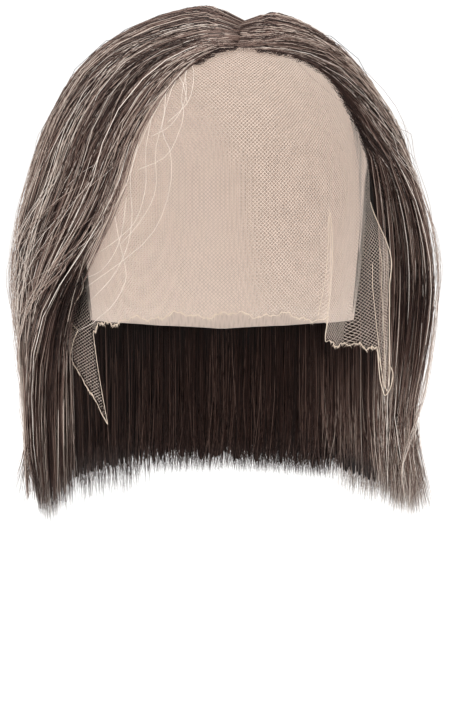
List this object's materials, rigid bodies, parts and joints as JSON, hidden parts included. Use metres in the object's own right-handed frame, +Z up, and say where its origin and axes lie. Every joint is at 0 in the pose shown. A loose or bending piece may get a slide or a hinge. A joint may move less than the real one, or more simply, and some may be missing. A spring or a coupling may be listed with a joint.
{
  "type": "lace front wig",
  "caption": "Straight bob wig of grey-streaked brown hair, parted off centre, on a net cap with an untrimmed sheer lace front and loose side tabs.",
  "frame": {"origin": "the inside of the cap at the crown, where the top of the wearer's head sits", "axes": "+Z up, the face looks along -Y, +X to the right of a viewer who looks at the face"},
  "size_m": [0.2329, 0.2325, 0.2766],
  "materials": {
    "lace": "fine open net of beige thread",
    "cap_net": "beige stretch net, matt",
    "hair": "straight fibre, satin, dark brown streaked with grey"
  },
  "bodies": {
    "root": {"lace_front": "lace", "wig_cap": "cap_net", "hair_left": "hair", "hair_right": "hair", "hair_back": "hair"}
  },
  "joints": []
}
